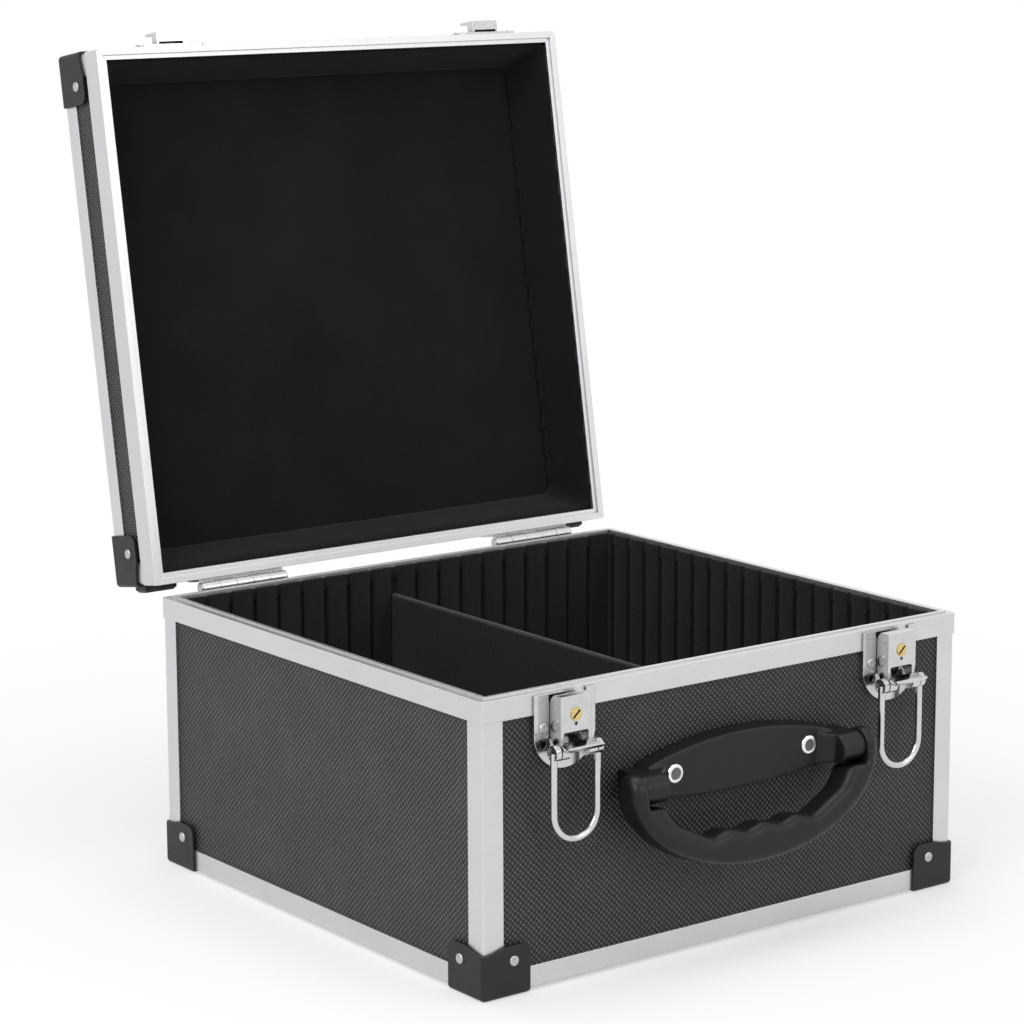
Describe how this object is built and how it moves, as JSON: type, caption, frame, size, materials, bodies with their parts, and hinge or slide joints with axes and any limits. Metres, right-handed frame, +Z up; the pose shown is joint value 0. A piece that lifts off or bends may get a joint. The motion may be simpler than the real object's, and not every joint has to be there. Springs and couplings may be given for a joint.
{
  "type": "storage case",
  "caption": "Hinged storage case for compact discs: aluminium-edged panels, corner caps, felt lining with a lift-out divider, draw latches with key locks, and a carrying handle.",
  "frame": {"origin": "on the standing surface, at the middle of the room that the open case takes up there; the centre of the case's base is 33.0711 mm in front of it", "axes": "+Z up, +Y towards the hinges at the back, +X to the right as seen from the front"},
  "size_m": [0.3136, 0.4144, 0.4465],
  "materials": {
    "panel_laminate": "embossed laminate on board",
    "aluminium": "satin anodised",
    "cap_plastic": "satin moulded",
    "rivets": "tumbled",
    "felt": "needled felt",
    "pin_steel": "drawn",
    "hinge_steel": "nickel plated",
    "latch_chrome": "polished",
    "lock_brass": "polished",
    "handle_plastic": "soft satin moulded"
  },
  "bodies": {
    "case_body": {"back_panel": "panel_laminate", "body_base_edges": "aluminium", "body_cap_rivets": "rivets", "body_corner_caps": "cap_plastic", "body_corner_posts": "aluminium", "body_rim_back": "aluminium", "body_rim_front": "aluminium", "body_rim_left": "aluminium", "body_rim_right": "aluminium", "body_rivets": "rivets", "bottom_panel": "panel_laminate", "front_panel": "panel_laminate", "handle_bracket": "handle_plastic", "handle_pins": "pin_steel", "handle_rivets": "rivets", "hinge_body_leaf_left": "hinge_steel", "hinge_body_leaf_right": "hinge_steel", "hinge_pin_left": "pin_steel", "hinge_pin_right": "pin_steel", "latch_base_left": "latch_chrome", "latch_base_right": "latch_chrome", "latch_pivot_pin_left": "pin_steel", "latch_pivot_pin_right": "pin_steel", "left_panel": "panel_laminate", "lining_back": "felt", "lining_floor": "felt", "lining_front": "felt", "lining_left": "felt", "lining_right": "felt", "right_panel": "panel_laminate"},
    "lid": {"hinge_lid_leaf_left": "hinge_steel", "hinge_lid_leaf_right": "hinge_steel", "latch_strike_left": "latch_chrome", "latch_strike_right": "latch_chrome", "lid_back_panel": "panel_laminate", "lid_cap_rivets": "rivets", "lid_corner_caps": "cap_plastic", "lid_corner_posts": "aluminium", "lid_front_panel": "panel_laminate", "lid_left_panel": "panel_laminate", "lid_lining_pad": "felt", "lid_right_panel": "panel_laminate", "lid_rim_back": "aluminium", "lid_rim_front": "aluminium", "lid_rim_left": "aluminium", "lid_rim_right": "aluminium", "lid_rivets": "rivets", "lid_side_lining": "felt", "lid_top_edges": "aluminium", "lid_top_panel": "panel_laminate"},
    "handle": {"handle_grip": "handle_plastic"},
    "divider": {"divider": "felt"},
    "lever_left": {"latch_lever_left": "latch_chrome"},
    "lever_right": {"latch_lever_right": "latch_chrome"},
    "bail_left": {"latch_bail_left": "latch_chrome"},
    "bail_right": {"latch_bail_right": "latch_chrome"},
    "key_plug_left": {"latch_key_plug_left": "lock_brass", "latch_lock_cam_left": "latch_chrome"},
    "key_plug_right": {"latch_key_plug_right": "lock_brass", "latch_lock_cam_right": "latch_chrome"}
  },
  "joints": [
    {"name": "lid_hinge", "type": "hinge", "parent": "case_body", "child": "lid", "pos_m": [0, 0.11693, 0.14815], "axis": [1, 0, 0], "range_deg": [0, 99.5]},
    {"name": "handle_pivot", "type": "hinge", "parent": "case_body", "child": "handle", "pos_m": [0, -0.19237, 0.0935], "axis": [-1, 0, 0], "range_deg": [0, 95]},
    {"name": "divider_lift", "type": "slide", "parent": "case_body", "child": "divider", "axis": [0, 0, -1], "range_m": [-0.15, 0]},
    {"name": "lever_pivot_left", "type": "hinge", "parent": "case_body", "child": "lever_left", "pos_m": [-0.1065, -0.18557, 0.141], "axis": [1, 0, 0], "range_deg": [-95, 0]},
    {"name": "bail_pivot_left", "type": "hinge", "parent": "lever_left", "child": "bail_left", "pos_m": [-0.1065, -0.18757, 0.1195], "axis": [-1, 0, 0], "range_deg": [0, 187]},
    {"name": "key_turn_left", "type": "hinge", "parent": "lever_left", "child": "key_plug_left", "pos_m": [-0.1065, -0.18807, 0.1369], "axis": [0, 1, 0], "range_deg": [0, 90]},
    {"name": "lever_pivot_right", "type": "hinge", "parent": "case_body", "child": "lever_right", "pos_m": [0.1065, -0.18557, 0.141], "axis": [1, 0, 0], "range_deg": [-95, 0]},
    {"name": "bail_pivot_right", "type": "hinge", "parent": "lever_right", "child": "bail_right", "pos_m": [0.1065, -0.18757, 0.1195], "axis": [-1, 0, 0], "range_deg": [0, 187]},
    {"name": "key_turn_right", "type": "hinge", "parent": "lever_right", "child": "key_plug_right", "pos_m": [0.1065, -0.18807, 0.1369], "axis": [0, 1, 0], "range_deg": [0, 90]}
  ]
}
